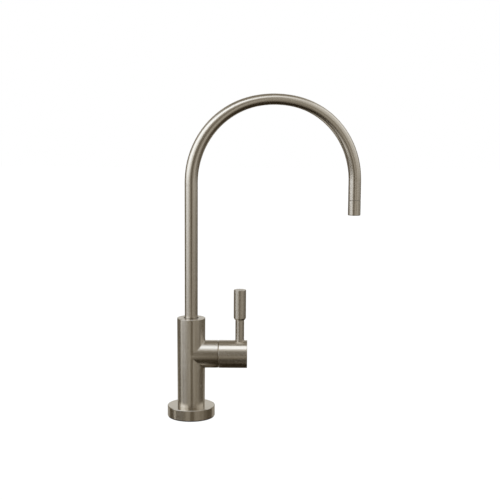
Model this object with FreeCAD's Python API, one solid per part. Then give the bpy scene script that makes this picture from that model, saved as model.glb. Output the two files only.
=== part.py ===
"""Gooseneck bar faucet with a side lever, as an assembly of separate pieces.

Millimetres, +Z up. The origin is on the column's axis, in the plane of the deck that the faucet
is mounted on. +X runs along the side branch that carries the lever; the user stands at -Y.
The spout is drawn in the XZ plane and then swivelled to its rest position.
"""
import FreeCAD, Part
import math
import os
from FreeCAD import Vector

# ---- Gaps between pieces ----
thread_gap = 0.05        # radial gap drawn between a screwed or pushed-in piece and its hole
turn_gap = 0.1           # radial gap of a piece that turns in its bore
face_gap = 0.05          # end gap between a turning piece and the face it runs on
hub_gap = 0.3            # joint line between the fixed branch and the turning hub
overcut = 1.0            # how far a cutting shape runs past the surface it opens

# ---- Base flange and gasket ----
flange_r = 23.25
flange_h = 10.0          # metal only, above the gasket
flange_edge = 0.5        # rounding of the flange's top rim
flange_rim = 2.8         # wall of the hollow underside
flange_boss_r = 8.2      # boss round the shank hole
flange_hollow = 5.0      # depth of the hollow underside
gasket_t = 1.0
gasket_inset = 0.6       # how far the gasket stays inside the flange's rim

# ---- Column ----
column_foot_r = 13.4
column_head_r = 13.75
column_top_z = 98.2
column_edge = 0.5
spigot_r = 10.0          # locates the column in the flange
spigot_len = 2.8

# ---- Side branch ----
branch_z = 62.2          # height of the branch's axis above the deck
branch_end = 26.65       # from the column's axis to the branch's end face
branch_step = 0.06       # how much thinner the branch is than the column beside it
branch_blend = 0.8       # rounding of the crease between column and branch
groove_chamfer = 0.5     # the two chamfers that form the V-groove at the joint line

# ---- Water ways in the column ----
riser_r = 2.75
riser_x = -4.0           # the riser passes behind the valve bore
shank_pool = 2.0         # free height over the shank's top, from which the riser starts
outlet_way_r = 2.0
outlet_way_x = 4.2
valve_seat = 2.0         # from the column's axis to the valve's seat face
valve_bore_r = 9.05

# ---- Spout socket in the column's head ----
socket_r = 6.5
socket_step_z = 79.0     # ledge that carries the thrust washer
socket_pool_r = 5.2
socket_pool_depth = 5.0
bushing_wall = 0.9
bushing_len = 5.5
bushing_recess = 0.4     # how far the bushing sits below the column's top
thrust_washer_t = 0.8

# ---- Gooseneck tube ----
tube_r = 6.35
tube_wall = 1.0
spout_reach = 170.0      # column axis to outlet axis
spring_z = 230.2         # height at which the bend begins and ends
side_arc_r = 81.2        # bend radius of each flank
side_arc_deg = 78.0      # turn of each flank before the flatter crown takes over
crown_flatten = 1.8      # how much thinner the bend leaves the tube at its crown
crown_spread = 0.8       # how much wider it leaves it across the plane of the bend
flatten_power = 4        # how strongly the flattening gathers at the crown
bend_steps = 24          # sections drawn through the bend
bend_lead = 4.0          # spacing of the sections drawn in each straight end of the bend
spout_rest_deg = 17.0    # swivel of the spout at rest, away from the user

# ---- Spout's end fitting ----
fitting_bore_r = 4.0
fitting_plug_len = 11.0  # length soldered into the tube
tube_in_socket = 5.5     # length of tube below the column's top
seal_section_r = 0.7     # section radius of the spout's O-rings
seal_groove_w = 1.9
seal_land = 1.5          # metal left beyond each seal groove
keeper_groove_w = 3.0    # groove that the retaining screw's tip runs in
keeper_groove_depth = 1.2

# ---- Outlet ----
outlet_leg = 34.9        # straight length from the end of the bend to the spout's tip
nozzle_len = 15.6
nozzle_spigot_len = 9.0
nozzle_bore_r = 4.2
nozzle_cup_r = 5.2
nozzle_cup_len = 9.4
nozzle_edge = 0.6
seam_chamfer = 0.45      # at the joint line between tube and nozzle
nozzle_gasket_t = 1.0
straightener_len = 7.2
straightener_cell_r = 0.75
straightener_rim = 0.4   # wall round the outermost holes
straightener_rings = 2   # rings of holes round the middle one

# ---- Quarter-turn ceramic valve, along the branch from the seat ----
seat_seal_t = 1.6
seat_seal_proud = 0.6    # how far the seal stands out of the housing
disc_r = 6.5
disc_t = 2.4
port_inner_r = 2.0
port_outer_r = 5.1
port_half_deg = 34.0
seal_inner_r = 5.3
lug_w = 1.9
lug_reach = 1.1
housing_wall = 1.2
housing_cavity_gap = 0.2 # radial play of the discs in the housing
housing_thread_r = 9.0
housing_thread_start = 11.0
housing_flange_r = 10.0
housing_flange_t = 1.5
housing_hex_af = 17.0
housing_hex_t = 3.9
housing_window_w = 5.0
housing_window_len = 3.6
driver_w = 5.0
driver_t = 1.4
dog_l = 2.0
dog_w = 3.0
dog_h = 1.1
dog_r = 4.6              # radius at which the dogs sit
collar_t = 0.6
stop_reach = 1.6         # how far the housing's two stops reach into its cavity
stem_r = 4.0
stem_seal_section_r = 0.5
stem_seal_groove_w = 1.4
stem_seal_pitch = 3.6
housing_seal_section_r = 0.6
housing_seal_groove_w = 1.8

# ---- Stem end, clip and hub ----
clip_t = 0.7
clip_bite = 0.8          # depth of the stem's clip groove
clip_r = 5.4
clip_open_w = 5.0
stem_end_r = 3.9
stem_flat = 2.9          # half the distance across the stem's two flats
stem_end_len = 8.2
hub_len = 27.95
hub_r = 13.65
hub_edge = 0.5
hub_recess_gap = 0.5     # round the housing's flange
hub_recess_spare = 0.55  # beyond the clip
set_screw_r = 1.95
set_screw_len = 6.0
set_screw_key_af = 2.0
set_screw_key_depth = 2.5
set_screw_tip_len = 0.5  # of the hub's screw

# ---- Lever ----
lever_x = 47.5           # lever axis from the column's axis
rod_r = 4.3
rod_len = 21.1           # from its seat in the hub to the neck
rod_seat_depth = 1.3     # counterbore in the hub's crown
rod_tenon_r = 2.95
rod_tenon_len = 8.0
neck_r = 3.9
neck_len = 0.8
grip_r = 6.0
grip_len = 29.7
grip_foot_chamfer = 1.9
grip_foot_step = 1.1
grip_edge = 0.3
grip_tenon_r = 2.45
grip_tenon_len = 9.5

# ---- Shank and clamp under the deck ----
shank_r = 5.5
shank_bore_r = 3.25
shank_engage = 14.0      # length screwed into the column
shank_below = 58.0       # length below the deck plane
shank_relief_z = -41.0   # top of the groove that parts the clamp thread from the inlet thread
shank_relief_len = 3.0
shank_relief_depth = 0.6
shank_chamfer = 0.5
shank_hole_gap = 0.3
deck_gap = 28.0          # deck thickness that the clamp is set for
rubber_washer_r = 15.0
rubber_washer_t = 3.0
steel_washer_r = 15.0
steel_washer_t = 1.5
lock_washer_r = 8.6
lock_washer_t = 1.6
lock_washer_split = 1.5
nut_af = 17.5
nut_t = 6.0

# ---- Sizes that follow from the ones above ----
flange_top_z = gasket_t + flange_h
hub_start = branch_end + hub_gap
hub_end = hub_start + hub_len
crown_arc_r = ((spout_reach / 2 - side_arc_r * (1 - math.cos(math.radians(side_arc_deg))))
               / math.cos(math.radians(side_arc_deg)))
tube_bore_r = tube_r - tube_wall
tube_foot_z = column_top_z - tube_in_socket
outlet_z = spring_z - outlet_leg
tube_tip_z = outlet_z + nozzle_len
fitting_r = socket_r - turn_gap
fitting_foot_z = socket_step_z + thrust_washer_t + face_gap
keeper_z = (fitting_foot_z + tube_foot_z) / 2

fixed_disc_at = valve_seat + seat_seal_t
moving_disc_at = fixed_disc_at + disc_t
driver_at = moving_disc_at + disc_t + face_gap
collar_at = driver_at + driver_t
cavity_end = collar_at + collar_t + face_gap
cavity_r = disc_r + housing_cavity_gap
stop_r = cavity_r - stop_reach
stop_half_deg = 45 - math.degrees(math.asin((driver_w / 2 + face_gap) / stop_r))
collar_r = stop_r - housing_cavity_gap
housing_start = valve_seat + seat_seal_proud
housing_r = cavity_r + housing_wall
hex_at = branch_end + housing_flange_t
housing_end = hex_at + housing_hex_t
clip_at = housing_end + face_gap
recess_end = clip_at + clip_t + hub_recess_spare
stem_end = recess_end + stem_end_len
hub_screw_x = (recess_end + stem_end) / 2

lever_seat_z = branch_z + hub_r - rod_seat_depth
neck_z = lever_seat_z + rod_len
grip_z = neck_z + neck_len

rubber_washer_z = -deck_gap - rubber_washer_t
steel_washer_z = rubber_washer_z - steel_washer_t
lock_washer_z = steel_washer_z - lock_washer_t
nut_z = lock_washer_z - nut_t

X = Vector(1, 0, 0)
Y = Vector(0, 1, 0)
Z = Vector(0, 0, 1)
ORIGIN = Vector(0, 0, 0)


# ---- Shapes used by more than one piece ----
def column_r_at(height):
    """Radius of the tapered column at a height above the deck."""
    share = (height - flange_top_z) / (column_top_z - flange_top_z)
    return column_foot_r + share * (column_head_r - column_foot_r)


def lathe(profile):
    """Solid turned about Z from (radius, height) points."""
    points = [Vector(r, 0, z) for r, z in profile]
    face = Part.Face(Part.makePolygon(points + points[:1]))
    return face.revolve(ORIGIN, Z, 360)


def rod(radius, low, high):
    return Part.makeCylinder(radius, high - low, Vector(0, 0, low))


def ring(outer_r, inner_r, low, high):
    return lathe([(inner_r, low), (outer_r, low), (outer_r, high), (inner_r, high)])


def o_ring(section_r, outer_r, height):
    return Part.makeTorus(outer_r - section_r, section_r, Vector(0, 0, height))


def block(size_x, size_y, low, high, centre_x=0.0, centre_y=0.0):
    corner = Vector(centre_x - size_x / 2, centre_y - size_y / 2, low)
    return Part.makeBox(size_x, size_y, high - low, corner)


def hex_prism(across_flats, low, high):
    corner_r = across_flats / math.sqrt(3)
    angles = [math.radians(30 + 60 * i) for i in range(6)]
    points = [Vector(corner_r * math.cos(a), corner_r * math.sin(a), low) for a in angles]
    return Part.Face(Part.makePolygon(points + points[:1])).extrude(Vector(0, 0, high - low))


def sector(outer_r, inner_r, half_deg, low, high, centre_deg):
    """Part of a ring that spans half_deg to each side of centre_deg."""
    pie = Part.makeCylinder(outer_r, high - low, Vector(0, 0, low), Z, 2 * half_deg)
    pie.rotate(ORIGIN, Z, centre_deg - half_deg)
    return pie.cut(rod(inner_r, low, high))


def round_rim(solid, rim_r, height, radius):
    """Round the circular edge of a turned solid that has this radius and height."""
    rims = [e for e in solid.Edges if isinstance(e.Curve, Part.Circle)
            and abs(e.Curve.Radius - rim_r) < 1e-4 and abs(e.Curve.Center.z - height) < 1e-4]
    return solid.makeFillet(radius, rims)


def on_branch(shape):
    """Lay a shape that is drawn about Z along the branch: its Z to +X, its -X up."""
    shape = shape.copy()
    shape.rotate(ORIGIN, Y, 90)
    shape.translate(Vector(0, 0, branch_z))
    return shape


def on_spout(shape):
    """Swivel a shape that is drawn in the XZ plane to the spout's rest position."""
    shape = shape.copy()
    shape.rotate(ORIGIN, Z, spout_rest_deg)
    return shape


def at_outlet(shape):
    """Move a shape that is drawn about Z to the outlet's axis."""
    shape = shape.copy()
    shape.translate(Vector(spout_reach, 0, 0))
    return on_spout(shape)


def set_screw(low, tip_r, tip_len):
    """Hexagon socket set screw along Z, its tip at low."""
    shoulder = low + tip_len
    top = shoulder + set_screw_len
    turned = lathe([(0, low), (tip_r, low), (tip_r, shoulder), (set_screw_r, shoulder),
                    (set_screw_r, top), (0, top)])
    return turned.cut(hex_prism(set_screw_key_af, top - set_screw_key_depth, top + overcut))


# ---- Base ----
def make_base_flange():
    profile = [(shank_r + shank_hole_gap, gasket_t), (flange_boss_r, gasket_t),
               (flange_boss_r, gasket_t + flange_hollow),
               (flange_r - flange_rim, gasket_t + flange_hollow), (flange_r - flange_rim, gasket_t),
               (flange_r, gasket_t), (flange_r, flange_top_z),
               (spigot_r + thread_gap, flange_top_z),
               (spigot_r + thread_gap, flange_top_z - spigot_len - face_gap),
               (shank_r + shank_hole_gap, flange_top_z - spigot_len - face_gap)]
    return round_rim(lathe(profile), flange_r, flange_top_z, flange_edge)


def make_deck_gasket():
    return ring(flange_r - gasket_inset, shank_r + shank_hole_gap, 0, gasket_t)


# ---- Column with its side branch ----
def make_faucet_body():
    spigot_z = flange_top_z - spigot_len
    column = lathe([(0, spigot_z), (spigot_r, spigot_z), (spigot_r, flange_top_z),
                    (column_foot_r, flange_top_z), (column_head_r, column_top_z), (0, column_top_z)])
    column = round_rim(column, column_head_r, column_top_z, column_edge)
    branch_r = column_r_at(branch_z) - branch_step
    branch = lathe([(0, 0), (branch_r, 0), (branch_r, branch_end - groove_chamfer),
                    (branch_r - groove_chamfer, branch_end), (0, branch_end)])
    return round_crease(column.fuse(on_branch(branch))).cut(water_ways() + spout_socket())


def round_crease(body):
    """Round the saddle-shaped crease where the branch leaves the column."""
    creases = [e for e in body.Edges if e.BoundBox.XMin > 0 and e.BoundBox.XMax < column_head_r
               and e.BoundBox.XLength > column_foot_r / 2]
    return body.makeFillet(branch_blend, creases)


def water_ways():
    """Shank hole, riser, valve bore and the way from the valve up to the spout."""
    shank_hole_top = flange_top_z + shank_engage + shank_pool
    shank_hole = rod(shank_r + thread_gap, 0, shank_hole_top)
    riser = rod(riser_r, shank_hole_top, branch_z)
    riser.translate(Vector(riser_x, 0, 0))
    elbow = Part.makeSphere(riser_r, Vector(riser_x, 0, branch_z))
    seat_way = on_branch(rod(riser_r, riser_x, valve_seat))
    valve_bore = on_branch(rod(valve_bore_r, valve_seat, branch_end))
    outlet_way = rod(outlet_way_r, branch_z, socket_step_z - socket_pool_depth)
    outlet_way.translate(Vector(outlet_way_x, 0, 0))
    return [shank_hole, riser, elbow, seat_way, valve_bore, outlet_way]


def spout_socket():
    """Stepped bore in the column's head, and the hole of the screw that keeps the spout in."""
    bushing_seat_r = tube_r + turn_gap + bushing_wall + thread_gap
    bushing_seat_z = column_top_z - bushing_recess - bushing_len
    pool_z = socket_step_z - socket_pool_depth
    bore = lathe([(0, pool_z), (socket_pool_r, pool_z), (socket_pool_r, socket_step_z),
                  (socket_r, socket_step_z), (socket_r, bushing_seat_z),
                  (bushing_seat_r, bushing_seat_z), (bushing_seat_r, column_top_z),
                  (0, column_top_z)])
    screw_hole = Part.makeCylinder(set_screw_r + thread_gap, 2 * column_head_r,
                                   Vector(0, 0, keeper_z), Y)
    return [bore, screw_hole]


# ---- Swivel joint of the spout ----
def make_swivel_bushing():
    top = column_top_z - bushing_recess
    inner_r = tube_r + turn_gap
    return ring(inner_r + bushing_wall, inner_r, top - bushing_len, top)


def make_thrust_washer():
    return ring(socket_r - thread_gap, socket_pool_r, socket_step_z,
                socket_step_z + thrust_washer_t)


def make_spout_set_screw():
    """Screw from behind, its tip in the fitting's groove with room to let the spout turn."""
    tip_y = fitting_r - keeper_groove_depth + turn_gap
    tip_len = socket_r + turn_gap - tip_y
    screw = set_screw(tip_y, keeper_groove_w / 2 - 2 * turn_gap, tip_len)
    screw.rotate(ORIGIN, X, -90)
    screw.translate(Vector(0, 0, keeper_z))
    return screw


def seal_heights():
    """Centres of the two O-ring grooves of the spout's fitting."""
    inset = seal_land + seal_groove_w / 2
    return [fitting_foot_z + inset, tube_foot_z - inset]


def make_spout_fitting():
    """Turned end of the spout: two seal grooves, the keeper groove and a plug for the tube."""
    plug_r = tube_bore_r - thread_gap
    plug_top = tube_foot_z + fitting_plug_len
    fitting = lathe([(fitting_bore_r, fitting_foot_z), (fitting_r, fitting_foot_z),
                     (fitting_r, tube_foot_z), (plug_r, tube_foot_z), (plug_r, plug_top),
                     (fitting_bore_r, plug_top)])
    floor_r = socket_r - face_gap - 2 * seal_section_r
    grooves = [ring(socket_r, floor_r, z - seal_groove_w / 2, z + seal_groove_w / 2)
               for z in seal_heights()]
    keeper = ring(socket_r, fitting_r - keeper_groove_depth,
                  keeper_z - keeper_groove_w / 2, keeper_z + keeper_groove_w / 2)
    return on_spout(fitting.cut(grooves + [keeper]))


def make_spout_o_rings():
    rings = [o_ring(seal_section_r, socket_r - face_gap, z) for z in seal_heights()]
    return on_spout(Part.makeCompound(rings))


# ---- Gooseneck tube ----
def bend_point(turn):
    """Centreline of the bend, in its plane, where the tube has turned by this angle."""
    flank = math.radians(side_arc_deg)
    if turn <= flank:
        return side_arc_r * (1 - math.cos(turn)), side_arc_r * math.sin(turn)
    if turn >= math.pi - flank:
        x, z = bend_point(math.pi - turn)
        return spout_reach - x, z
    rise = side_arc_r * math.sin(flank) - crown_arc_r * math.sin(flank)
    return spout_reach / 2 - crown_arc_r * math.cos(turn), rise + crown_arc_r * math.sin(turn)


def tube_section(turn, inset, straight=0.0):
    """Wire across the tube where it has turned by this angle.

    The bend flattens the outside of the tube, most of all at the crown, and spreads it sideways.
    inset takes the wall off, and straight moves an end section down its straight leg.
    """
    bent = math.sin(turn) ** flatten_power
    across = tube_r + crown_spread / 2 * bent - inset
    in_plane = tube_r - crown_flatten / 2 * bent - inset
    outward = Vector(-math.cos(turn), 0, math.sin(turn))
    x, z = bend_point(turn)
    section = Part.Wire(Part.Ellipse(ORIGIN, across, in_plane).toShape())
    section.rotate(ORIGIN, Z, 90)
    section.rotate(ORIGIN, Y, math.degrees(turn))
    section.translate(Vector(x, 0, spring_z + z - straight) - outward * (crown_flatten / 2 * bent))
    return section


def bent_solid(inset):
    """Straight legs and the bend as one solid, this far inside the tube's surface."""
    leads = [2 * bend_lead, bend_lead]
    sections = [tube_section(0, inset, lead) for lead in leads]
    sections += [tube_section(math.pi * i / bend_steps, inset) for i in range(bend_steps + 1)]
    sections += [tube_section(math.pi, inset, lead) for lead in reversed(leads)]
    bend = Part.makeLoft(sections, True, False)
    leg_top = spring_z - 2 * bend_lead
    inlet_leg = rod(tube_r - inset, tube_foot_z, leg_top)
    outlet_leg = rod(tube_r - inset, tube_tip_z, leg_top)
    outlet_leg.translate(Vector(spout_reach, 0, 0))
    return bend.fuse([inlet_leg, outlet_leg])


def make_spout_tube():
    return on_spout(bent_solid(0).cut(bent_solid(tube_wall)))


# ---- Outlet ----
def make_outlet_nozzle():
    spigot_r_top = tube_bore_r - thread_gap
    spigot_top = tube_tip_z + nozzle_spigot_len
    cup_top = outlet_z + nozzle_cup_len
    nozzle = lathe([(nozzle_cup_r, outlet_z), (tube_r, outlet_z), (tube_r, tube_tip_z - seam_chamfer),
                    (tube_r - seam_chamfer, tube_tip_z), (spigot_r_top, tube_tip_z),
                    (spigot_r_top, spigot_top), (nozzle_bore_r, spigot_top),
                    (nozzle_bore_r, cup_top), (nozzle_cup_r, cup_top)])
    return at_outlet(round_rim(nozzle, tube_r, outlet_z, nozzle_edge))


def make_nozzle_gasket():
    top = outlet_z + nozzle_cup_len
    return at_outlet(ring(nozzle_cup_r - thread_gap, nozzle_bore_r, top - nozzle_gasket_t, top))


def straightener_cells():
    """Centres of a hexagonal pattern of holes, in rings round the middle one."""
    span = range(-straightener_rings, straightener_rings + 1)
    outermost = nozzle_cup_r - thread_gap - straightener_rim - straightener_cell_r
    pitch = outermost / straightener_rings
    return [Vector((column + row / 2) * pitch, row * pitch * math.sqrt(3) / 2, 0)
            for column in span for row in span if abs(column + row) <= straightener_rings]


def make_flow_straightener():
    top = outlet_z + nozzle_cup_len - nozzle_gasket_t
    low = top - straightener_len
    insert = rod(nozzle_cup_r - thread_gap, low, top)
    holes = []
    for centre in straightener_cells():
        hole = rod(straightener_cell_r, low, top)
        hole.translate(centre)
        holes.append(hole)
    return at_outlet(insert.cut(holes))


# ---- Quarter-turn ceramic valve, drawn about Z and laid along the branch ----
def make_seat_seal():
    return on_branch(ring(disc_r, seal_inner_r, valve_seat, fixed_disc_at))


def make_fixed_disc():
    """Ceramic disc with two ports, above and below the axis, and two lugs that stop it turning."""
    top = fixed_disc_at + disc_t
    disc = rod(disc_r, fixed_disc_at, top)
    lug_l = overcut + lug_reach
    lugs = [block(lug_w, lug_l, fixed_disc_at, top, 0, side * (disc_r - overcut + lug_l / 2))
            for side in (-1, 1)]
    ports = [sector(port_outer_r, port_inner_r, port_half_deg, fixed_disc_at, top, at)
             for at in (0, 180)]
    return on_branch(disc.fuse(lugs).cut(ports))


def make_moving_disc():
    """Ceramic disc with two open notches that face sideways while the valve is shut."""
    top = moving_disc_at + disc_t
    disc = rod(disc_r - turn_gap, moving_disc_at, top)
    notches = [sector(disc_r + overcut, port_inner_r, port_half_deg, moving_disc_at, top, at)
               for at in (90, 270)]
    slot_depth = dog_h + face_gap
    slots = [block(dog_l + turn_gap, dog_w + turn_gap, top - slot_depth, top, side * dog_r)
             for side in (-1, 1)]
    return on_branch(disc.cut(notches + slots))


def make_cartridge_housing():
    """Brass housing: disc cavity with notches, windows and stops, thread, flange and hexagon."""
    stem_bore_r = stem_r + turn_gap
    seal_z = housing_seal_z()
    groove_r = valve_bore_r - face_gap - 2 * housing_seal_section_r
    turned = lathe([(cavity_r, housing_start), (housing_r, housing_start),
                    (housing_r, valve_seat + housing_thread_start),
                    (housing_thread_r, valve_seat + housing_thread_start + housing_thread_r - housing_r),
                    (housing_thread_r, branch_end), (housing_flange_r, branch_end),
                    (housing_flange_r, hex_at), (stem_bore_r + housing_wall, hex_at),
                    (stem_bore_r + housing_wall, housing_end), (stem_bore_r, housing_end),
                    (stem_bore_r, cavity_end), (cavity_r, cavity_end)])
    hexagon = hex_prism(housing_hex_af, hex_at, housing_end).cut(rod(stem_bore_r, hex_at, housing_end))
    groove = ring(valve_bore_r, groove_r, seal_z - housing_seal_groove_w / 2,
                  seal_z + housing_seal_groove_w / 2)
    notch_w = lug_w + turn_gap
    through = 2 * (housing_r + overcut)
    notches = block(notch_w, through, housing_start, moving_disc_at)
    window_low = cavity_end - housing_window_len
    windows = [block(housing_window_w, through, window_low, cavity_end),
               block(through, housing_window_w, window_low, cavity_end)]
    stops = [sector(cavity_r + housing_wall / 2, stop_r, stop_half_deg, driver_at, cavity_end, at)
             for at in (135, 315)]
    shell = turned.fuse(hexagon).cut([groove, notches] + windows)
    return on_branch(shell.fuse(stops))


def housing_seal_z():
    return branch_end - seal_land / 2 - housing_seal_groove_w / 2


def make_cartridge_o_ring():
    return on_branch(o_ring(housing_seal_section_r, valve_bore_r - face_gap, housing_seal_z()))


def stem_seal_positions():
    """Centres of the two seals of the stem, in the middle of its bore."""
    middle = (cavity_end + branch_end) / 2
    return [middle - stem_seal_pitch / 2, middle + stem_seal_pitch / 2]


def make_valve_stem():
    """Stem with driver bar and dogs, seal and clip grooves, and a double-D end for the hub."""
    bar = rod(disc_r - turn_gap, driver_at, collar_at).common(
        block(2 * disc_r, driver_w, driver_at, collar_at))
    dogs = [block(dog_l, dog_w, driver_at - dog_h, driver_at, side * dog_r) for side in (-1, 1)]
    collar = rod(collar_r, collar_at, collar_at + collar_t)
    shaft = rod(stem_r, collar_at, clip_at + clip_t)
    flats = block(2 * stem_flat, 2 * stem_end_r, clip_at + clip_t, stem_end)
    tip = rod(stem_end_r, clip_at + clip_t, stem_end).common(flats)
    floor_r = stem_r + turn_gap - face_gap - 2 * stem_seal_section_r
    grooves = [ring(stem_r + overcut, floor_r, z - stem_seal_groove_w / 2, z + stem_seal_groove_w / 2)
               for z in stem_seal_positions()]
    clip_groove = ring(stem_r + overcut, stem_r - clip_bite, clip_at, clip_at + clip_t)
    stem = collar.fuse([bar, shaft, tip] + dogs).cut(grooves + [clip_groove])
    return on_branch(stem)


def make_stem_o_rings():
    outer_r = stem_r + turn_gap - face_gap
    rings = [o_ring(stem_seal_section_r, outer_r, z) for z in stem_seal_positions()]
    return on_branch(Part.makeCompound(rings))


def make_stem_clip():
    """Open spring clip in the stem's groove, outside the housing."""
    low, high = clip_at + face_gap / 2, clip_at + clip_t - face_gap / 2
    clip = ring(clip_r, stem_r - clip_bite + thread_gap, low, high)
    return on_branch(clip.cut(block(clip_open_w, clip_r + overcut, low, high,
                                    0, (clip_r + overcut) / 2)))


# ---- Handle ----
def make_handle_hub():
    recess_r = housing_flange_r + hub_recess_gap
    hub = lathe([(recess_r, hub_start), (hub_r - groove_chamfer, hub_start),
                 (hub_r, hub_start + groove_chamfer), (hub_r, hub_end), (0, hub_end),
                 (0, recess_end), (recess_r, recess_end)])
    hub = round_rim(hub, hub_r, hub_end, hub_edge)
    socket_flats = block(2 * (stem_flat + thread_gap), 2 * hub_r, recess_end, stem_end + face_gap)
    socket = rod(stem_end_r + thread_gap, recess_end, stem_end + face_gap).common(socket_flats)
    hub = on_branch(hub.cut(socket))
    screw_hole = Part.makeCylinder(set_screw_r + thread_gap, hub_r + overcut,
                                   Vector(hub_screw_x, 0, branch_z), -Z)
    seat = rod(rod_r + thread_gap, lever_seat_z, branch_z + 2 * hub_r)
    tenon_hole = rod(rod_tenon_r + thread_gap, lever_seat_z - rod_tenon_len - face_gap, lever_seat_z)
    for cutter in (seat, tenon_hole):
        cutter.translate(Vector(lever_x, 0, 0))
    return hub.cut([screw_hole, seat, tenon_hole])


def make_handle_set_screw():
    """Screw from below that bears on the stem's lower flat."""
    screw = set_screw(stem_flat + thread_gap, set_screw_r / 2, set_screw_tip_len)
    screw.rotate(ORIGIN, X, 180)
    screw.translate(Vector(hub_screw_x, 0, branch_z))
    return screw


def make_lever_rod():
    """Rod with a tenon for the hub, a neck and a tenon for the grip."""
    lever = lathe([(0, lever_seat_z - rod_tenon_len), (rod_tenon_r, lever_seat_z - rod_tenon_len),
                   (rod_tenon_r, lever_seat_z), (rod_r, lever_seat_z), (rod_r, neck_z),
                   (neck_r, neck_z), (neck_r, grip_z), (grip_tenon_r, grip_z),
                   (grip_tenon_r, grip_z + grip_tenon_len), (0, grip_z + grip_tenon_len)])
    lever.translate(Vector(lever_x, 0, 0))
    return lever


def make_lever_grip():
    hole_r = grip_tenon_r + thread_gap
    hole_top = grip_z + grip_tenon_len + face_gap
    top = grip_z + grip_len
    grip = lathe([(hole_r, grip_z), (grip_r - grip_foot_step, grip_z),
                  (grip_r, grip_z + grip_foot_chamfer), (grip_r, top), (0, top),
                  (0, hole_top), (hole_r, hole_top)])
    grip = round_rim(grip, grip_r, top, grip_edge)
    grip.translate(Vector(lever_x, 0, 0))
    return grip


# ---- Shank and clamp under the deck ----
def make_mounting_shank():
    top = flange_top_z + shank_engage - thread_gap
    low = -shank_below
    relief_r = shank_r - shank_relief_depth
    return lathe([(shank_bore_r, low), (shank_r - shank_chamfer, low), (shank_r, low + shank_chamfer),
                  (shank_r, shank_relief_z - shank_relief_len),
                  (relief_r, shank_relief_z - shank_relief_len), (relief_r, shank_relief_z),
                  (shank_r, shank_relief_z), (shank_r, top - shank_chamfer),
                  (shank_r - shank_chamfer, top), (shank_bore_r, top)])


def make_rubber_washer():
    return ring(rubber_washer_r, shank_r + shank_hole_gap, rubber_washer_z, -deck_gap)


def make_steel_washer():
    return ring(steel_washer_r, shank_r + shank_hole_gap, steel_washer_z, rubber_washer_z)


def make_lock_washer():
    """Spring washer with its split."""
    washer = ring(lock_washer_r, shank_r + shank_hole_gap, lock_washer_z, steel_washer_z)
    cut_l = lock_washer_r + overcut
    return washer.cut(block(lock_washer_split, cut_l, lock_washer_z, steel_washer_z, 0, cut_l / 2))


def make_lock_nut():
    """Hexagon nut with turned corners on both faces."""
    corner_r = nut_af / math.sqrt(3)
    bevel = corner_r - nut_af / 2
    turned = lathe([(shank_r + thread_gap, nut_z), (nut_af / 2, nut_z), (corner_r, nut_z + bevel / 2),
                    (corner_r, lock_washer_z - bevel / 2), (nut_af / 2, lock_washer_z),
                    (shank_r + thread_gap, lock_washer_z)])
    return hex_prism(nut_af, nut_z, lock_washer_z).common(turned)


PIECES = {
    "base_flange": make_base_flange,
    "deck_gasket": make_deck_gasket,
    "faucet_body": make_faucet_body,
    "swivel_bushing": make_swivel_bushing,
    "thrust_washer": make_thrust_washer,
    "spout_set_screw": make_spout_set_screw,
    "spout_fitting": make_spout_fitting,
    "spout_o_rings": make_spout_o_rings,
    "spout_tube": make_spout_tube,
    "outlet_nozzle": make_outlet_nozzle,
    "nozzle_gasket": make_nozzle_gasket,
    "flow_straightener": make_flow_straightener,
    "seat_seal": make_seat_seal,
    "fixed_disc": make_fixed_disc,
    "moving_disc": make_moving_disc,
    "cartridge_housing": make_cartridge_housing,
    "cartridge_o_ring": make_cartridge_o_ring,
    "valve_stem": make_valve_stem,
    "stem_o_rings": make_stem_o_rings,
    "stem_clip": make_stem_clip,
    "handle_hub": make_handle_hub,
    "handle_set_screw": make_handle_set_screw,
    "lever_rod": make_lever_rod,
    "lever_grip": make_lever_grip,
    "mounting_shank": make_mounting_shank,
    "rubber_washer": make_rubber_washer,
    "steel_washer": make_steel_washer,
    "lock_washer": make_lock_washer,
    "lock_nut": make_lock_nut,
}

os.makedirs("parts", exist_ok=True)
for node, make in PIECES.items():
    make().exportStep(f"parts/{node}.step")
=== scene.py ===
"""Looks of the gooseneck bar faucet: finishes, screw thread, studio light and camera.

The frame's solids stay as they are. +Z is up and the user stands at -Y. Lengths are in metres,
apart from those under a comment that says millimetres.
"""

import math

import bmesh
import bpy
from mathutils import Matrix, Vector


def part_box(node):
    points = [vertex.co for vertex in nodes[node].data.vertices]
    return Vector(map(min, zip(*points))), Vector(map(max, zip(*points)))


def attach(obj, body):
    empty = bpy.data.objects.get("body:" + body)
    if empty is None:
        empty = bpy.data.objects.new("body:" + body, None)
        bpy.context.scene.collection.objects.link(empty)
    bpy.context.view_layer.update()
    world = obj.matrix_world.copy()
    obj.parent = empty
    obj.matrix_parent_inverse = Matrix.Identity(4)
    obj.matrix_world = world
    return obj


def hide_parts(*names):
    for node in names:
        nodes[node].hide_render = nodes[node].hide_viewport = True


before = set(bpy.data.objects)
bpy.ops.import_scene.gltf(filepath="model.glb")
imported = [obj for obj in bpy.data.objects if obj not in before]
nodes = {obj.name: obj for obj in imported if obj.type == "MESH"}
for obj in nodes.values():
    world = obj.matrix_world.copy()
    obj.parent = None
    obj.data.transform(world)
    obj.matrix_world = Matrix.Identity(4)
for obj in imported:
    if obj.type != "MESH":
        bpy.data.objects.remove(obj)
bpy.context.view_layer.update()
scene = bpy.context.scene
MM = 0.001
WHITE = (1.0, 1.0, 1.0)
X, Z = Vector((1, 0, 0)), Vector((0, 0, 1))

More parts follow.
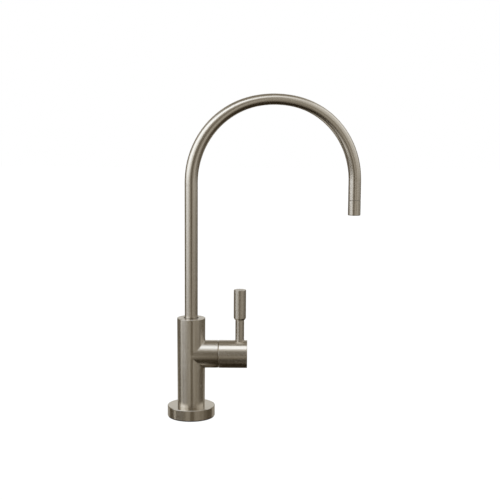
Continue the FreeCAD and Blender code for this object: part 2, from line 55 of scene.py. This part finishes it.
# Places that the finishes follow, in the row frame
REST_TURN = math.radians(17.0)           # the spout's swivel at rest
SPOUT_REACH = 0.17                       # from the column's axis to the outlet's
SPOUT_DIR = Vector((math.cos(REST_TURN), math.sin(REST_TURN), 0.0))
SPOUT_SIDE = Vector((-math.sin(REST_TURN), math.cos(REST_TURN), 0.0))
BEND_R = SPOUT_REACH / 2                 # to the middle of the tube
BEND_HEIGHT = 0.2302                     # of the bend's centre
BEND_CENTRE = SPOUT_DIR * BEND_R + Z * BEND_HEIGHT
# A point on each axis that pieces are turned round
COLUMN = Vector()
BRANCH = Vector((0.0, 0.0, 0.0622))
LEVER = Vector((0.0475, 0.0, 0.0))
OUTLET = SPOUT_DIR * SPOUT_REACH


def placed(name, data):
    """A new object in the scene."""
    made = bpy.data.objects.new(name, data)
    scene.collection.objects.link(made)
    return made


# ---------------------------------------------------------------- node helpers
class Graph:
    """The node tree of a material or world, written as expressions."""

    # Numbers of a Mix node's colour sockets, because its other sockets have the same names
    SHARE, FROM, TO, MIXED = 0, 6, 7, 2

    def __init__(self, name, world=False):
        self.block = (bpy.data.worlds if world else bpy.data.materials).new(name)
        self.block.use_nodes = True
        self.tree = self.block.node_tree
        self.tree.nodes.clear()

    def put(self, socket, value):
        """Link a socket's value in, or set it as a constant; a colour gets its alpha."""
        if isinstance(value, bpy.types.NodeSocket):
            self.tree.links.new(value, socket)
        elif isinstance(value, (tuple, list, Vector)):
            value = tuple(value)
            size = len(socket.default_value)
            socket.default_value = value if len(value) == size else (*value, 1.0)
        else:
            socket.default_value = value

    def node(self, kind, sockets=None, **settings):
        """A new node with its settings, and its sockets by name or number."""
        made = self.tree.nodes.new(kind)
        for key, value in settings.items():
            setattr(made, key, value)
        for key, value in (sockets or {}).items():
            self.put(made.inputs[key], value)
        return made

    def math(self, operation, *values):
        return self.node("ShaderNodeMath", dict(enumerate(values)), operation=operation).outputs[0]

    def add(self, a, b):
        return self.math("ADD", a, b)

    def times(self, a, b):
        return self.math("MULTIPLY", a, b)

    def vector(self, operation, *values, **sockets):
        made = self.node("ShaderNodeVectorMath", {**dict(enumerate(values)), **sockets},
                         operation=operation)
        return made.outputs["Value" if operation in ("DOT_PRODUCT", "LENGTH") else "Vector"]

    def split(self, vector):
        """The three coordinates of a vector."""
        return self.node("ShaderNodeSeparateXYZ", {0: vector}).outputs

    def join(self, *coordinates):
        """The vector with these coordinates, or the colour with these channels."""
        return self.node("ShaderNodeCombineXYZ", dict(enumerate(coordinates))).outputs[0]

    def remap(self, value, low, high, to_low=0.0, to_high=1.0, smooth=False):
        """A value's place between low and high, carried over to another range."""
        numbers = dict(enumerate((value, low, high, to_low, to_high)))
        return self.node("ShaderNodeMapRange", numbers,
                         interpolation_type="SMOOTHSTEP" if smooth else "LINEAR").outputs[0]

    def mix(self, share, a, b):
        """Colour a, with a share of colour b."""
        made = self.node("ShaderNodeMix", {self.SHARE: share, self.FROM: a, self.TO: b},
                         data_type="RGBA")
        return made.outputs[self.MIXED]

    def noise(self, vector, scale, w=None, detail=2.0, roughness=0.5):
        sockets = {"Vector": vector, "Scale": scale, "Detail": detail, "Roughness": roughness}
        if w is not None:
            sockets["W"] = w
        return self.node("ShaderNodeTexNoise", sockets,
                         noise_dimensions="3D" if w is None else "4D").outputs["Fac"]

    def place(self):
        """The point that is shaded, in the piece's own coordinates."""
        return self.node("ShaderNodeTexCoord").outputs["Object"]

    def bump(self, height, strength, distance):
        return self.node("ShaderNodeBump", {"Height": height, "Strength": strength,
                                            "Distance": distance}).outputs[0]

    def finish(self, sockets):
        shader = self.node("ShaderNodeBsdfPrincipled", sockets)
        return self.output(shader, "ShaderNodeOutputMaterial")

    def output(self, shader, kind):
        self.node(kind, {"Surface": shader.outputs[0]})
        return self.block


# ---------------------------------------------------------------- shared by the finishes
# Where four numbers say how a value is used, they are its range, and what that range stands for:
# shares of a colour or amounts of roughness.
SPREAD = (0.3, 0.7)                      # a noise's values are mostly between these
EDGE_RANGE = (0.995, 0.93)               # cosine between the rounded normal and the face's
# Painted shade in seams, grooves and inner corners, by the share of open sky
SEAM_SHADE = (0.7, 0.1, 0.0, 0.85)       # by the share of open sky
EDGE_SAMPLES, SEAM_SAMPLES = 4, 8


def edges(g, radius):
    """1 along a piece's sharp edges, 0 on its open faces."""
    bevel = g.node("ShaderNodeBevel", {"Radius": radius}, samples=EDGE_SAMPLES).outputs[0]
    normal = g.node("ShaderNodeNewGeometry").outputs["Normal"]
    return g.remap(g.vector("DOT_PRODUCT", bevel, normal), *EDGE_RANGE, smooth=True)


def crevice_shade(g, reach):
    """Painted shade in a piece's grooves, seams and inner corners, stronger where they see less
    open sky; 0 on its open faces.
    """
    sky = g.node("ShaderNodeAmbientOcclusion", {"Distance": reach}, samples=SEAM_SAMPLES)
    return g.remap(sky.outputs["AO"], *SEAM_SHADE, smooth=True)


def uneven(g, noise, rough, swing):
    """Roughness that follows a noise, by the swing below and above the piece's own."""
    less, more = swing
    return g.remap(noise, *SPREAD, rough - less, rough + more)


def lighter(colour, factor):
    return [min(1.0, channel * factor) for channel in colour]


def dress(material, *names):
    """Give CAD nodes their finish."""
    for name in names:
        mesh = nodes[name].data
        mesh.materials.clear()
        mesh.materials.append(material)


# ---------------------------------------------------------------- brushed nickel
NICKEL = (0.600, 0.548, 0.470)
NICKEL_WORN = (0.760, 0.715, 0.640)
NICKEL_DEEP = (0.440, 0.392, 0.320)
# Dark nickel painted into seams, grooves and inner corners as shade
NICKEL_SHADED = (0.160, 0.130, 0.095)
NICKEL_IOR = 2.2
FINE_SCALE, FINE_RATIO = 70.0, 5200.0        # brushed lines, and how much thinner they are than
COARSE_SCALE, COARSE_RATIO = 45.0, 1500.0    # long
LINE_TONE = (0.34, 0.66, 0.0, 1.0)           # from deep to plain nickel
LINE_SWING = (0.045, 0.055)
LINE_RELIEF = (0.10, 0.02 * MM)
EVEN_SHARE = 0.62                            # plain nickel laid over the lines
CLOUD_SCALE = 34.0
CLOUD_TONE = (0.35, 0.7, 0.0, 0.10)
CLOUD_WEAR = (0.3, 0.65, 0.45, 1.0)
CLOUD_ROUGH = (*SPREAD, -0.015, 0.02)
WORN_REACH, WORN_SHARE, WORN_GLOSS = 0.35 * MM, 0.45, 0.06
# How far the painted shade in seams and corners looks for nearby surfaces
SHADE_REACH = 0.8 * MM
END_LEAN = 0.5                               # the tangent's outward lean, for the end faces


def turned_nickel(node, axis, point, rough, stretch, shift):
    """Finish a turned piece: grain round its axis, on its side and on its end faces."""
    g = Graph("nickel_" + node)
    offset = g.vector("SUBTRACT", g.place(), point)
    down = g.vector("DOT_PRODUCT", offset, axis)
    out = g.vector("SUBTRACT", offset, g.vector("SCALE", axis, Scale=down))
    travel = g.add(down, g.vector("LENGTH", out))
    lean = g.vector("SCALE", g.vector("NORMALIZE", out), Scale=END_LEAN)
    tangent = g.vector("ADD", axis, lean)
    dress(brushed(g, travel, tangent, rough, stretch, shift), node)


def drawn_nickel(node, rough, stretch, shift):
    """Finish the gooseneck: grain round the tube all the way along its bend."""
    g = Graph("nickel_" + node)
    offset = g.vector("SUBTRACT", g.place(), BEND_CENTRE)
    x, y, z = g.split(offset)
    flat = g.vector("DOT_PRODUCT", offset, SPOUT_DIR)
    rise = g.math("MAXIMUM", z, 0.0)
    turn = g.math("ARCTAN2", rise, g.times(flat, -1.0))
    travel = g.add(g.times(turn, BEND_R), g.math("MINIMUM", z, 0.0))
    tangent = g.vector("CROSS_PRODUCT", SPOUT_SIDE, g.join(x, y, rise))
    dress(brushed(g, travel, tangent, rough, stretch, shift), node)


def brushed(g, travel, tangent, rough, stretch, shift):
    """Brushed nickel. Travel and tangent both run across the grain: travel is the distance along
    the piece, which tells one line from the next, and tangent gives the shader the direction."""
    place = g.place()
    shifted = g.add(travel, shift)
    fine = g.noise(place, FINE_SCALE, w=g.times(shifted, FINE_RATIO))
    coarse = g.noise(place, COARSE_SCALE, w=g.times(shifted, COARSE_RATIO),
                     detail=3.0, roughness=0.65)
    lines = g.add(g.times(fine, 0.5), g.times(coarse, 0.5))
    clouds = g.noise(place, CLOUD_SCALE, detail=3.0)
    worn = g.times(edges(g, WORN_REACH), g.remap(clouds, *CLOUD_WEAR))
    tone = g.mix(g.remap(lines, *LINE_TONE), NICKEL_DEEP, NICKEL)
    tone = g.mix(EVEN_SHARE, tone, NICKEL)
    tone = g.mix(g.remap(clouds, *CLOUD_TONE), tone, NICKEL_DEEP)
    tone = g.mix(g.times(worn, WORN_SHARE), tone, NICKEL_WORN)
    # Painted shade: seams, grooves and inner corners darkened toward the dark nickel
    tone = g.mix(crevice_shade(g, SHADE_REACH), tone, NICKEL_SHADED)
    base = g.add(uneven(g, lines, rough, LINE_SWING), g.remap(clouds, *CLOUD_ROUGH))
    base = g.math("SUBTRACT", base, g.times(worn, WORN_GLOSS))
    turned = g.node("ShaderNodeVectorTransform", {0: tangent}, vector_type="VECTOR",
                    convert_from="OBJECT", convert_to="WORLD").outputs[0]
    return g.finish({"Base Color": tone, "Metallic": 1.0, "Roughness": base, "IOR": NICKEL_IOR,
                     "Anisotropic": stretch, "Tangent": g.vector("NORMALIZE", turned),
                     "Normal": g.bump(lines, *LINE_RELIEF)})


turned_nickel("base_flange", Z, COLUMN, rough=0.18, stretch=0.48, shift=0.011)
turned_nickel("faucet_body", Z, COLUMN, rough=0.24, stretch=0.70, shift=0.0)
turned_nickel("handle_hub", X, BRANCH, rough=0.25, stretch=0.82, shift=0.023)
turned_nickel("lever_rod", Z, LEVER, rough=0.25, stretch=0.75, shift=0.037)
turned_nickel("lever_grip", Z, LEVER, rough=0.25, stretch=0.75, shift=0.041)
drawn_nickel("spout_tube", rough=0.24, stretch=0.74, shift=0.0)
turned_nickel("outlet_nozzle", Z, OUTLET, rough=0.24, stretch=0.74, shift=0.053)


# ---------------------------------------------------------------- other finishes
TOOL_SCALE, TOOL_RATIO = 60.0, 2400.0    # tool lines, and how much thinner they are than long
TOOL_TONE = (0.35, 0.65, 0.0, 0.25)
MOTTLE_SCALE, MOTTLE_SWING = 900.0, (0.06, 0.08)
STAIN_SCALE = 120.0
STAIN_TONE = (0.4, 0.7, 0.0, 0.55)
STAIN_ROUGH = (*SPREAD, 0.0, 0.05)
METAL_RELIEF = (0.12, 0.02 * MM)
METAL_EDGE, METAL_EDGE_SHARE, METAL_LIGHTER = 0.25 * MM, 0.4, 1.35

MOULD_CLOUDS = 12.0                      # size of the uneven tone, against the surface grain's
MOULD_TONE = (0.35, 0.7, 0.0, 1.0)
MOULD_SWING = (0.07, 0.08)
MOULD_DEPTH = 0.03 * MM
MOULD_EDGE, MOULD_EDGE_SHARE, MOULD_LIGHTER = 0.3 * MM, 0.25, 1.5


def plain_metal(name, colour, dark, rough):
    """Machined or plated metal with fine mottling, tool lines and lighter edges."""
    g = Graph(name)
    place = g.place()
    _, _, height = g.split(place)
    lines = g.noise(place, TOOL_SCALE, w=g.times(height, TOOL_RATIO))
    mottle = g.noise(place, MOTTLE_SCALE, detail=4.0, roughness=0.6)
    stain = g.noise(place, STAIN_SCALE, detail=3.0)
    worn = g.times(edges(g, METAL_EDGE), METAL_EDGE_SHARE)
    tone = g.mix(g.remap(stain, *STAIN_TONE), colour, dark)
    tone = g.mix(g.remap(lines, *TOOL_TONE), tone, dark)
    tone = g.mix(worn, tone, lighter(colour, METAL_LIGHTER))
    base = g.add(uneven(g, mottle, rough, MOTTLE_SWING), g.remap(stain, *STAIN_ROUGH))
    return g.finish({"Base Color": tone, "Metallic": 1.0, "Roughness": base,
                     "Normal": g.bump(g.add(mottle, lines), *METAL_RELIEF)})


def moulded(name, colour, dark, rough, scale, bump, specular=0.5):
    """Rubber, nylon or ceramic: fine surface grain and uneven tone."""
    g = Graph(name)
    place = g.place()
    grain = g.noise(place, scale, detail=5.0, roughness=0.65)
    clouds = g.noise(place, scale / MOULD_CLOUDS, detail=3.0)
    worn = g.times(edges(g, MOULD_EDGE), MOULD_EDGE_SHARE)
    tone = g.mix(g.remap(clouds, *MOULD_TONE), colour, dark)
    tone = g.mix(worn, tone, lighter(colour, MOULD_LIGHTER))
    base = uneven(g, grain, rough, MOULD_SWING)
    return g.finish({"Base Color": tone, "Roughness": base, "Specular IOR Level": specular,
                     "Normal": g.bump(grain, bump, MOULD_DEPTH)})


brass = plain_metal("brass_machined", (0.72, 0.52, 0.24), (0.50, 0.34, 0.13), rough=0.30)
dress(brass, "mounting_shank", "cartridge_housing", "valve_stem", "spout_fitting")
steel = plain_metal("steel_plain", (0.56, 0.56, 0.57), (0.36, 0.36, 0.38), rough=0.34)
dress(steel, "steel_washer", "lock_washer", "lock_nut", "stem_clip")
screws = plain_metal("steel_dark_screw", (0.20, 0.20, 0.21), (0.09, 0.09, 0.10), rough=0.42)
dress(screws, "handle_set_screw", "spout_set_screw")
rubber = moulded("rubber_black", (0.030, 0.030, 0.032), (0.014, 0.014, 0.015),
                 rough=0.72, scale=1600.0, bump=0.35, specular=0.35)
dress(rubber, "deck_gasket", "rubber_washer", "cartridge_o_ring", "seat_seal", "stem_o_rings",
      "spout_o_rings", "nozzle_gasket")
dark_nylon = moulded("nylon_dark", (0.042, 0.040, 0.038), (0.020, 0.019, 0.018),
                     rough=0.55, scale=1200.0, bump=0.2)
dress(dark_nylon, "swivel_bushing")
white_nylon = moulded("nylon_white", (0.78, 0.77, 0.72), (0.66, 0.65, 0.60),
                      rough=0.50, scale=1200.0, bump=0.2)
dress(white_nylon, "thrust_washer", "flow_straightener")
ceramic = moulded("ceramic_discs", (0.86, 0.84, 0.78), (0.76, 0.74, 0.68),
                  rough=0.28, scale=2600.0, bump=0.08)
dress(ceramic, "fixed_disc", "moving_disc")


# ---------------------------------------------------------------- screw thread, in millimetres
THREAD_R, THREAD_DEPTH, THREAD_PITCH = 5.5, 0.58, 1.0
THREAD_TOP, THREAD_FADE = -0.3, 0.8      # its upper end, and the height over which it runs out
THREAD_FLAT = 0.06                       # share of the pitch that is flat on crest and in root
THREAD_CHAMFER = 0.5
SHANK_BORE_R = 3.25
RELIEF_R, RELIEF_LOW, RELIEF_HIGH = 4.9, -44.0, -41.0
THREAD_ROW, THREAD_COLUMNS = 0.1, 36     # height of a row of faces, and how many go round
SHARP_ANGLE = math.radians(60)           # from which an edge between faces shades as a corner


def thread_radius(height, share):
    """Radius of the threaded shank at a height, at a share of a whole turn round it."""
    phase = (height / THREAD_PITCH - share) % 1.0
    from_root = abs(2.0 * phase - 1.0)
    groove = (1.0 - THREAD_FLAT - from_root) / (1.0 - 2.0 * THREAD_FLAT)
    groove = min(1.0, max(0.0, groove))
    groove *= groove * (3.0 - 2.0 * groove)
    fade = min(1.0, max(0.0, (THREAD_TOP - height) / THREAD_FADE))
    return THREAD_R - THREAD_DEPTH * groove * fade


def shank_rows(low, high):
    """Rings of the shank, from its bore's lower edge up the outside: radii round each, height."""
    def plain(radius, height):
        return [radius] * THREAD_COLUMNS, height

    def threaded(start, end):
        steps = round((end - start) / THREAD_ROW)
        for step in range(steps + 1):
            height = start + (end - start) * step / steps
            ceiling = THREAD_R - max(0.0, low + THREAD_CHAMFER - height)
            yield [min(ceiling, thread_radius(height, i / THREAD_COLUMNS))
                   for i in range(THREAD_COLUMNS)], height

    return [
        plain(SHANK_BORE_R, low),
        *threaded(low, RELIEF_LOW),
        plain(RELIEF_R, RELIEF_LOW),
        plain(RELIEF_R, RELIEF_HIGH),
        *threaded(RELIEF_HIGH, THREAD_TOP),
        plain(THREAD_R, high - THREAD_CHAMFER),
        plain(THREAD_R - THREAD_CHAMFER, high),
        plain(SHANK_BORE_R, high),
    ]


def threaded_shank():
    """The mounting shank with its thread cut, in place of the plain one."""
    low, high = (corner.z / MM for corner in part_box("mounting_shank"))
    shape = bmesh.new()
    rings = []
    for radii, height in shank_rows(low, high):
        ring = []
        for i, radius in enumerate(radii):
            angle = 2.0 * math.pi * i / THREAD_COLUMNS
            place = Vector((radius * math.cos(angle), radius * math.sin(angle), height))
            ring.append(shape.verts.new(place * MM))
        rings.append(ring)
    for ring, above in zip(rings, rings[1:] + rings[:1]):
        for i in range(THREAD_COLUMNS):
            j = (i + 1) % THREAD_COLUMNS
            shape.faces.new((ring[i], ring[j], above[j], above[i]))
    mesh = bpy.data.meshes.new("threaded_shank")
    shape.to_mesh(mesh)
    shape.free()
    mesh.shade_smooth()
    mesh.set_sharp_from_angle(angle=SHARP_ANGLE)
    mesh.materials.append(brass)
    shank = placed("threaded_shank", mesh)
    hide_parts("mounting_shank")
    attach(shank, "column")


threaded_shank()


# ---------------------------------------------------------------- studio
# Soft panels all round the faucet. Azimuth 0 is the user's side and grows to the right, in
# degrees; where panels overlap, the brighter one counts.
#   azimuth from, to, shoulder; elevation from, to, shoulder; brightness
PANELS = (
    (-93, -19, 4, 40, 62, 8, 2.05),      # big softbox on the left: its top
    (-98, -50, 4, 14, 62, 8, 1.95),      # its outer half, brightest
    (-96, -50, 4, -4, 20, 4, 1.80),
    (-96, -44, 5, -8, 20, 6, 1.25),
    (-103, -90, 4, 2, 20, 4, 1.50),
    (-96, -27, 4, -4, 50, 4, 1.30),      # its inner half
    (-96, -18, 3, -4, 40, 4, 0.80),
    (-122, -96, 6, -4, 40, 6, 0.66),     # its folded-back side
    (-66, 30, 14, 51, 82, 5, 1.95),      # overhead strip
    (24, 76, 10, 49, 80, 6, 1.32),
    (70, 98, 10, 47, 76, 8, 0.92),
    (42, 60, 4, -3, 54, 5, 0.88),        # weaker softbox on the right
    (50, 124, 4, -3, 52, 5, 0.76),
    (74, 122, 6, 8, 52, 6, 1.00),
    (90, 128, 6, 18, 50, 7, 1.26),
    (22, 46, 4, -4, 14, 6, 0.46),
    (-20, 48, 5, 26, 52, 6, 0.36),       # strip of wall between the softboxes
    (-20, 48, 5, 37, 52, 5, 0.64),
    (-93, -77, 3, -13, -4, 3, 0.74),     # table's edge and floor, left to right
    (-80, -57, 4, -13, -4, 3, 0.24),
    (-58, -25, 4, -13, -4, 3, 0.38),
    (-38, -24, 4, -13, -4, 3, 0.52),
    (-91, -77, 3, -27, -13, 3, 0.44),
    (-58, -36, 4, -27, -13, 3, 0.05),
    (-38, -24, 4, -27, -13, 3, 0.12),
    (-26, 18, 4, -24, -3, 3, 0.30),
    (18, 29, 3, -27, -4, 4, 0.46),
    (25, 47, 4, -27, -4, 4, 0.29),
    (25, 69, 4, -10, -2, 4, 0.44),
    (45, 69, 4, -27, -4, 4, 0.24),
    (66, 87, 4, -24, -4, 4, 0.15),
    (-80, -36, 5, -44, -26, 5, 1.00),    # bounced light and floor further down
    (-66, -34, 5, -62, -26, 6, 0.42),
    (-34, 50, 6, -62, -26, 6, 0.34),
    (16, 50, 6, -76, -50, 6, 0.30),
    (-154, -108, 10, -62, -34, 6, 0.60),
    (124, 152, 8, 12, 60, 10, 0.46),     # fill from the back right and back left
    (-150, -98, 8, 24, 62, 8, 0.38),
)
BACK_PANELS = (                          # the same on both sides of the faucet's back
    (150, 190, 5, 6, 34, 5, 0.74),
    (124, 190, 5, -27, -14, 3, 0.42),
)
# The dim room behind the panels: elevation and brightness, from low to high
ROOM = (
    (-70, 0.02), (-45, 0.035), (-27, 0.07), (-14, 0.10),
    (0, 0.14), (12, 0.20), (48, 0.20), (70, 0.34),
)
# Red, green and blue from brightness: power and factor. Dim parts are warmer than the lamps.
LAMP_CHANNELS = ((0.899, 0.980), (0.985, 1.003), (1.133, 1.019))

# Parts of the light tent near enough to look different from each piece, as upright sheets that
# only reflections see: the front with the camera's slit, and the edge of the right softbox. In
# millimetres:
#   place along Y; x from, to, z from, to; brightness; and panels, with x and z for the angles
TENT = {
    "tent_front": (-400, (-150, 200, -1200, 330), 0.03, (
        (-170, -14, 10, -125, 400, 20, 0.31),
        (-170, -14, 10, -85, 10, 30, 0.56),
        (-170, -14, 10, -190, -85, 40, 0.26),
        (-14, 112, 10, -90, 60, 60, 0.21),
        (-14, 112, 10, 30, 400, 40, 0.11),
        (-14, 112, 10, -190, -80, 40, 0.14),
        (120, 134, 10, -105, 400, 20, 0.40),
        (128, 230, 10, -105, 400, 20, 0.36),
        (122, 230, 10, -80, 40, 30, 0.52),
        (112, 230, 10, -190, -80, 40, 0.24),
    )),
    "tent_side": (-204, (184, 262, -60, 235), 0.28, (
        (150, 300, 10, 60, 400, 60, 0.42),
        (150, 300, 10, 140, 400, 40, 0.56),
    )),
}


def window(g, value, low, high, shoulder):
    """1 between two limits and 0 outside them, with a soft step as wide as the shoulder."""
    rise = g.remap(value, low - shoulder / 2, low + shoulder / 2, smooth=True)
    fall = g.remap(value, high - shoulder / 2, high + shoulder / 2, 1.0, 0.0, smooth=True)
    return g.times(rise, fall)


def brightest(g, across, up, panels, level):
    """Brightness of the brightest panel at a place, or of what is behind them."""
    for west, east, side, low, high, edge, bright in panels:
        lit = g.times(window(g, across, west, east, side), window(g, up, low, high, edge))
        level = g.math("MAXIMUM", level, g.times(lit, bright))
    return level


def room_light(g, elevation):
    """Brightness of the room at an elevation."""
    level = ROOM[0][1]
    for (low, dim), (high, bright) in zip(ROOM, ROOM[1:]):
        level = g.add(g.remap(elevation, low, high, 0.0, bright - dim, smooth=True), level)
    return level


def lamp_colour(g, level):
    """Colour of a part of the studio from its brightness."""
    return g.join(*(g.times(g.math("POWER", level, power), factor)
                    for power, factor in LAMP_CHANNELS))


def studio_world():
    """Softboxes, strips and room as one surround; the camera sees only white paper."""
    g = Graph("studio", world=True)
    x, y, z = g.split(g.node("ShaderNodeTexCoord").outputs["Generated"])
    azimuth = g.math("DEGREES", g.math("ARCTAN2", x, g.times(y, -1.0)))
    elevation = g.math("DEGREES", g.math("ARCSINE", z))
    level = brightest(g, azimuth, elevation, PANELS, room_light(g, elevation))
    level = brightest(g, g.math("ABSOLUTE", azimuth), elevation, BACK_PANELS, level)
    studio = g.node("ShaderNodeBackground", {"Color": lamp_colour(g, level), "Strength": 1.0})
    white = g.node("ShaderNodeBackground", {"Color": WHITE, "Strength": 1.0})
    seen = g.node("ShaderNodeLightPath").outputs["Is Camera Ray"]
    both = g.node("ShaderNodeMixShader", {0: seen, 1: studio.outputs[0], 2: white.outputs[0]})
    scene.world = g.output(both, "ShaderNodeOutputWorld")


def tent_sheet(name, along, span, dark, panels):
    """An upright sheet of the light tent, seen only in reflections."""
    g = Graph(name)
    x, _, z = g.split(g.place())
    level = brightest(g, g.times(x, 1 / MM), g.times(z, 1 / MM), panels, dark)
    light = g.node("ShaderNodeEmission", {"Color": lamp_colour(g, level), "Strength": 1.0})
    west, east, low, high = span
    corners = ((west, low), (east, low), (east, high), (west, high))
    mesh = bpy.data.meshes.new(name)
    mesh.from_pydata([(across * MM, along * MM, up * MM) for across, up in corners], [],
                     [(0, 1, 2, 3)])
    mesh.materials.append(g.output(light, "ShaderNodeOutputMaterial"))
    sheet = placed(name, mesh)
    sheet.visible_camera = sheet.visible_diffuse = sheet.visible_shadow = False


FLOOR_HALF = 6.0                         # half the floor's side
FLOOR_DROP = 0.05 * MM                   # keeps it just clear of the gasket's underside
PAPER_SHADE = (0.05, 0.05, 0.05)
PAPER_SCALE, PAPER_RELIEF = 300.0, (0.05, 0.05 * MM)


def pale_floor():
    """White sweep under the faucet; the metal doesn't mirror it, so its undersides stay dark."""
    g = Graph("floor_paper")
    grain = g.bump(g.noise(g.place(), PAPER_SCALE, detail=3.0), *PAPER_RELIEF)
    paper = g.node("ShaderNodeBsdfDiffuse", {"Color": PAPER_SHADE, "Normal": grain})
    shine = g.node("ShaderNodeEmission", {"Color": WHITE, "Strength": 1.0})
    both = g.node("ShaderNodeAddShader", {0: paper.outputs[0], 1: shine.outputs[0]})
    mesh = bpy.data.meshes.new("floor")
    shape = bmesh.new()
    bmesh.ops.create_grid(shape, x_segments=4, y_segments=4, size=FLOOR_HALF)
    shape.to_mesh(mesh)
    shape.free()
    mesh.materials.append(g.output(both, "ShaderNodeOutputMaterial"))
    floor = placed("floor", mesh)
    floor.location.z = -FLOOR_DROP
    floor.visible_glossy = False


# The photograph's viewpoint, from a camera fitted to the outlines in it
PHOTO_SIDE, FOCAL_LENGTH = 500.0, 986.893    # in the photograph's pixels
SENSOR = 36.0
CAMERA_PLACE = Vector((57.0, -950.0, 282.675)) * MM
CAMERA_PITCH, CAMERA_ROLL = 0.123, 0.007     # radians, downwards and sideways
CLIP_END = 50.0


def photo_camera():
    """The camera that the photograph's view comes from."""
    data = bpy.data.cameras.new("camera")
    data.sensor_width = SENSOR
    data.lens = FOCAL_LENGTH * SENSOR / PHOTO_SIDE
    data.clip_end = CLIP_END
    camera = placed("camera", data)
    camera.matrix_world = (Matrix.Translation(CAMERA_PLACE)
                           @ Matrix.Rotation(math.pi / 2 - CAMERA_PITCH, 4, "X")
                           @ Matrix.Rotation(CAMERA_ROLL, 4, "Z"))
    scene.camera = camera


studio_world()
for name, sheet in TENT.items():
    tent_sheet(name, *sheet)
pale_floor()
photo_camera()
scene.view_settings.view_transform = "Standard"
